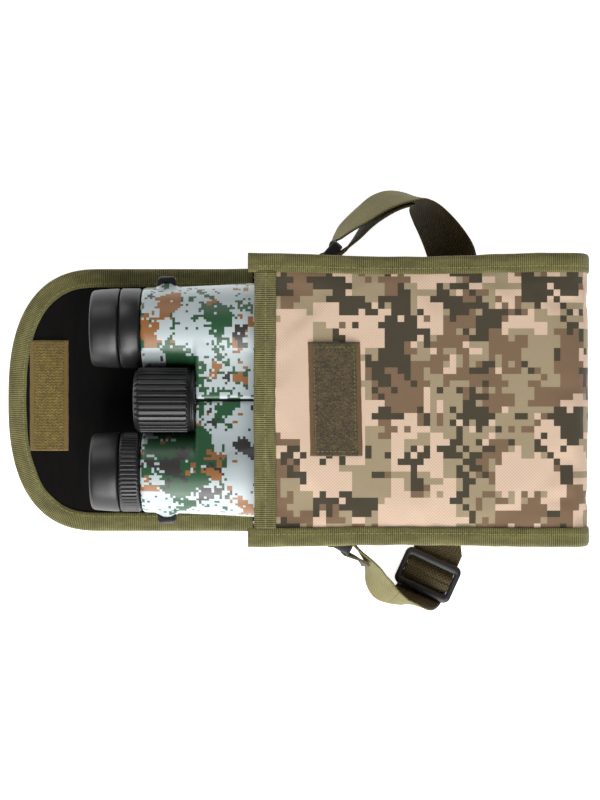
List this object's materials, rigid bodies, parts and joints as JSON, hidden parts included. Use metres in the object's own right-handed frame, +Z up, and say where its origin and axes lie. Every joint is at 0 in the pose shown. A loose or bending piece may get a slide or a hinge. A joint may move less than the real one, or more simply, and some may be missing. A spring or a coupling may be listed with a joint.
{
  "type": "binocular pack",
  "caption": "Padded camouflage pouch lying open, with bound edges, hook-and-loop flap, webbing strap on rings with a slider, and a roof-prism binocular half drawn out.",
  "frame": {"origin": "centre of the bounding box on the surface the pack lies on", "axes": "+X towards the pouch's closed bottom end, +Y towards the binocular's left barrel, +Z up out of the front panel"},
  "size_m": [0.2926, 0.2153, 0.0695],
  "materials": {
    "camo_cloth": "woven canvas, digital camouflage print",
    "foam": "closed-cell foam sheet",
    "lining_cloth": "black woven lining",
    "olive_binding": "ribbed grosgrain tape",
    "olive_webbing": "flat woven webbing",
    "loop_tape": "loop pile",
    "hook_tape": "hook tape",
    "black_plastic": "moulded acetal",
    "camo_armour": "satin film-printed armour",
    "black_rubber": "matte moulded rubber",
    "dark_metal": "black anodised",
    "coated_glass": "coated optical glass"
  },
  "bodies": {
    "pouch": {"outer_shell": "camo_cloth", "shell_foam": "foam", "lining": "lining_cloth", "gusset_left": "camo_cloth", "gusset_right": "camo_cloth", "gusset_lining_left": "lining_cloth", "gusset_lining_right": "lining_cloth", "edge_binding_left": "olive_binding", "edge_binding_right": "olive_binding", "mouth_binding": "olive_binding", "loop_patch": "loop_tape", "side_tab_left": "olive_webbing", "side_tab_right": "olive_webbing", "shoulder_strap": "olive_webbing"},
    "ring_left": {"ring_left": "black_plastic"},
    "ring_right": {"ring_right": "black_plastic"},
    "strap_slider": {"strap_slider": "black_plastic"},
    "flap_base": {"flap_base_shell": "camo_cloth", "flap_base_lining": "lining_cloth", "flap_base_binding_left": "olive_binding", "flap_base_binding_right": "olive_binding"},
    "flap_tip": {"flap_tip_shell": "camo_cloth", "flap_tip_lining": "lining_cloth", "flap_tip_binding": "olive_binding", "hook_patch": "hook_tape"},
    "bino_left": {"barrel_left": "camo_armour", "hinge_axle": "dark_metal", "hinge_cap": "black_rubber", "prism_left": "coated_glass", "objective_lens_left": "coated_glass", "objective_ring_left": "black_rubber", "eyepiece_tube_left": "dark_metal", "ocular_lens_left": "coated_glass", "eyepiece_ring_left": "black_rubber", "strap_lug_left": "black_rubber"},
    "bino_right": {"barrel_right": "camo_armour", "prism_right": "coated_glass", "objective_lens_right": "coated_glass", "objective_ring_right": "black_rubber", "eyepiece_tube_right": "dark_metal", "ocular_lens_right": "coated_glass", "strap_lug_right": "black_rubber"},
    "focus_wheel": {"focus_wheel": "black_rubber"},
    "diopter_ring": {"diopter_ring": "black_rubber"},
    "focus_lens_left": {"focus_lens_left": "coated_glass"},
    "focus_lens_right": {"focus_lens_right": "coated_glass"},
    "eyecup_sleeve_left": {"eyecup_sleeve_left": "dark_metal"},
    "eyecup_sleeve_right": {"eyecup_sleeve_right": "dark_metal"},
    "eyecup_left": {"eyecup_left": "black_rubber"},
    "eyecup_right": {"eyecup_right": "black_rubber"}
  },
  "joints": [
    {"name": "flap_hinge", "type": "hinge", "parent": "pouch", "child": "flap_base", "pos_m": [-0.02205, 0.00044, 0.003], "axis": [0, 1, 0], "range_deg": [0, 90], "deforming": ["flap_base_shell", "flap_base_lining", "flap_base_binding_left", "flap_base_binding_right", "flap_tip_shell", "flap_tip_lining", "flap_tip_binding", "hook_patch"]},
    {"name": "flap_fold", "type": "hinge", "parent": "flap_base", "child": "flap_tip", "pos_m": [-0.09155, 0.00044, 0.003], "axis": [0, 1, 0], "range_deg": [0, 90]},
    {"name": "bino_slide", "type": "slide", "parent": "pouch", "child": "bino_left", "axis": [1, 0, 0], "range_m": [0, 0.09]},
    {"name": "ipd_hinge", "type": "hinge", "parent": "bino_left", "child": "bino_right", "pos_m": [-0.03285, 0.00044, 0.0445], "axis": [1, 0, 0], "range_deg": [0, 3.5]},
    {"name": "focus_turn", "type": "hinge", "parent": "bino_left", "child": "focus_wheel", "pos_m": [-0.06185, 0.00044, 0.0445], "axis": [1, 0, 0], "range_deg": [-200, 200]},
    {"name": "focus_travel_left", "type": "slide", "parent": "bino_left", "child": "focus_lens_left", "axis": [1, 0, 0], "range_m": [-0.003, 0.003]},
    {"name": "focus_travel_right", "type": "slide", "parent": "bino_right", "child": "focus_lens_right", "axis": [1, 0, 0], "range_m": [-0.003, 0.003]},
    {"name": "diopter_turn", "type": "hinge", "parent": "bino_right", "child": "diopter_ring", "pos_m": [-0.07885, -0.03556, 0.0345], "axis": [1, 0, 0], "range_deg": [-35, 35]},
    {"name": "eyecup_twist_left", "type": "hinge", "parent": "bino_left", "child": "eyecup_sleeve_left", "pos_m": [-0.08285, 0.03644, 0.0345], "axis": [1, 0, 0], "range_deg": [0, 90]},
    {"name": "eyecup_rise_left", "type": "slide", "parent": "eyecup_sleeve_left", "child": "eyecup_left", "axis": [-1, 0, 0], "range_m": [0, 0.006]},
    {"name": "eyecup_twist_right", "type": "hinge", "parent": "bino_right", "child": "eyecup_sleeve_right", "pos_m": [-0.08285, -0.03556, 0.0345], "axis": [1, 0, 0], "range_deg": [0, 90]},
    {"name": "eyecup_rise_right", "type": "slide", "parent": "eyecup_sleeve_right", "child": "eyecup_right", "axis": [-1, 0, 0], "range_m": [0, 0.006]},
    {"name": "ring_swing_left", "type": "hinge", "parent": "pouch", "child": "ring_left", "pos_m": [0.01695, 0.06979, 0.032], "axis": [0, 0, 1], "range_deg": [-12, 12]},
    {"name": "ring_swing_right", "type": "hinge", "parent": "pouch", "child": "ring_right", "pos_m": [0.02055, -0.06891, 0.032], "axis": [0, 0, 1], "range_deg": [-12, 12]},
    {"name": "slider_travel", "type": "slide", "parent": "pouch", "child": "strap_slider", "axis": [-0.4147, -0.91, 0], "range_m": [-0.003, 0.004], "deforming": ["shoulder_strap"]}
  ],
  "couplings": [
    {"joint": "flap_hinge", "follows": "bino_slide", "rad_per_m": 17.45},
    {"joint": "flap_fold", "follows": "bino_slide", "rad_per_m": 17.45},
    {"joint": "focus_travel_left", "follows": "focus_turn", "m_per_rad": 0.00085},
    {"joint": "focus_travel_right", "follows": "focus_turn", "m_per_rad": 0.00085},
    {"joint": "eyecup_rise_left", "follows": "eyecup_twist_left", "m_per_rad": 0.0038},
    {"joint": "eyecup_rise_right", "follows": "eyecup_twist_right", "m_per_rad": 0.0038}
  ]
}
